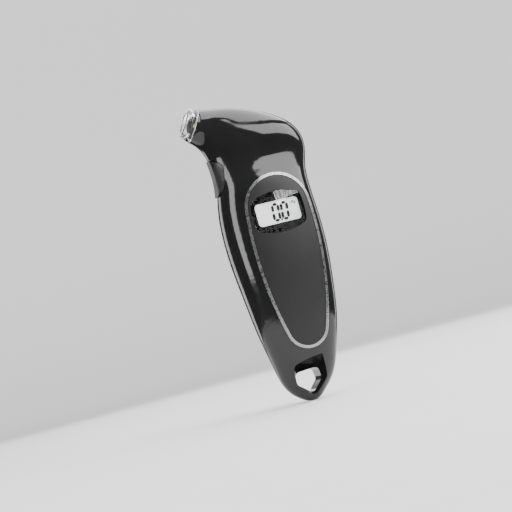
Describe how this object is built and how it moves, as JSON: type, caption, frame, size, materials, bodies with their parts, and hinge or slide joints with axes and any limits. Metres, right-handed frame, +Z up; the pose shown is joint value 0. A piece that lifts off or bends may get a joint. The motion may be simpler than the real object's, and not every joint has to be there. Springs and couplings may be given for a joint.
{
  "type": "tire pressure gauge",
  "caption": "Pistol-shaped hand-held digital tire pressure gauge with a clear lit nozzle, side trigger, small display in a teardrop face plate and a key-ring hole at its tail.",
  "frame": {"origin": "under the middle of the gauge's box, at the height of its rounded tail", "axes": "+Z up along the grip towards the head, +X to the right seen from the display side, the display looks along -Y"},
  "size_m": [0.0548, 0.0273, 0.1402],
  "materials": {
    "gloss_black": "polished, moulded ABS",
    "satin_charcoal": "fine satin spark texture",
    "bright_trim": "plated plastic, fine double line",
    "clear_lens": "clear polished acrylic",
    "clear_tip": "clear polycarbonate",
    "mask_ink": "printed black ink",
    "lcd": "backlit reflective LCD glass",
    "diffuser": "milky light guide",
    "black_rubber": "moulded rubber",
    "trigger_rubber": "satin black grip pad",
    "silicone": "translucent silicone hose",
    "brass": "turned brass",
    "steel": "zinc-plated steel",
    "spring_steel": "spring wire",
    "board_green": "solder mask",
    "chip_black": "moulded epoxy",
    "component": "ceramic and metal parts",
    "lamp_white": "clear epoxy lamp",
    "cell_steel": "stamped steel can",
    "inner_plastic": "plain moulded ABS",
    "wire_red": "insulated wire",
    "sensor_case": "moulded sensor case"
  },
  "bodies": {
    "casing": {"front_shell": "gloss_black", "rear_shell": "gloss_black", "face_plate": "satin_charcoal", "trim_ring": "bright_trim", "display_window": "clear_lens", "display_mask": "mask_ink", "lcd_bezel": "inner_plastic", "nozzle_tip": "clear_tip", "nozzle_seal": "black_rubber", "nozzle_core": "brass", "depressor_pin": "brass", "o_ring": "black_rubber", "air_tube": "silicone", "sensor_block": "sensor_case", "sensor_pins": "steel", "nozzle_lamp": "lamp_white", "lamp_leads": "steel", "lcd_glass": "lcd", "light_guide": "diffuser", "zebra_strips": "black_rubber", "backlight_lamps": "lamp_white", "main_board": "board_green", "micro_controller": "chip_black", "board_components": "component", "board_screws": "steel", "side_switch": "chip_black", "trigger_spring": "spring_steel", "battery_tray": "inner_plastic", "coin_cell": "cell_steel", "coin_cell_contact": "spring_steel", "button_cells": "cell_steel", "button_cell_contacts": "spring_steel", "battery_wires": "wire_red", "shell_screws": "steel"},
    "trigger": {"trigger_button": "trigger_rubber"},
    "switch_plunger": {"switch_plunger": "inner_plastic"},
    "battery_cover": {"battery_cover": "gloss_black", "cover_screws": "steel"}
  },
  "joints": [
    {"name": "trigger_press", "type": "slide", "parent": "casing", "child": "trigger", "axis": [1, 0, 0], "range_m": [0, 0.0012], "stiffness_N_per_m": 500, "springref_m": -0.002, "deforming": ["trigger_spring"]},
    {"name": "switch_press", "type": "slide", "parent": "casing", "child": "switch_plunger", "axis": [1, 0, 0], "range_m": [0, 0.0012]},
    {"name": "battery_cover_removal", "type": "slide", "parent": "casing", "child": "battery_cover", "axis": [0, 1, 0], "range_m": [0, 0.03]}
  ],
  "couplings": [
    {"joint": "switch_press", "follows": "trigger_press", "ratio": 1}
  ]
}
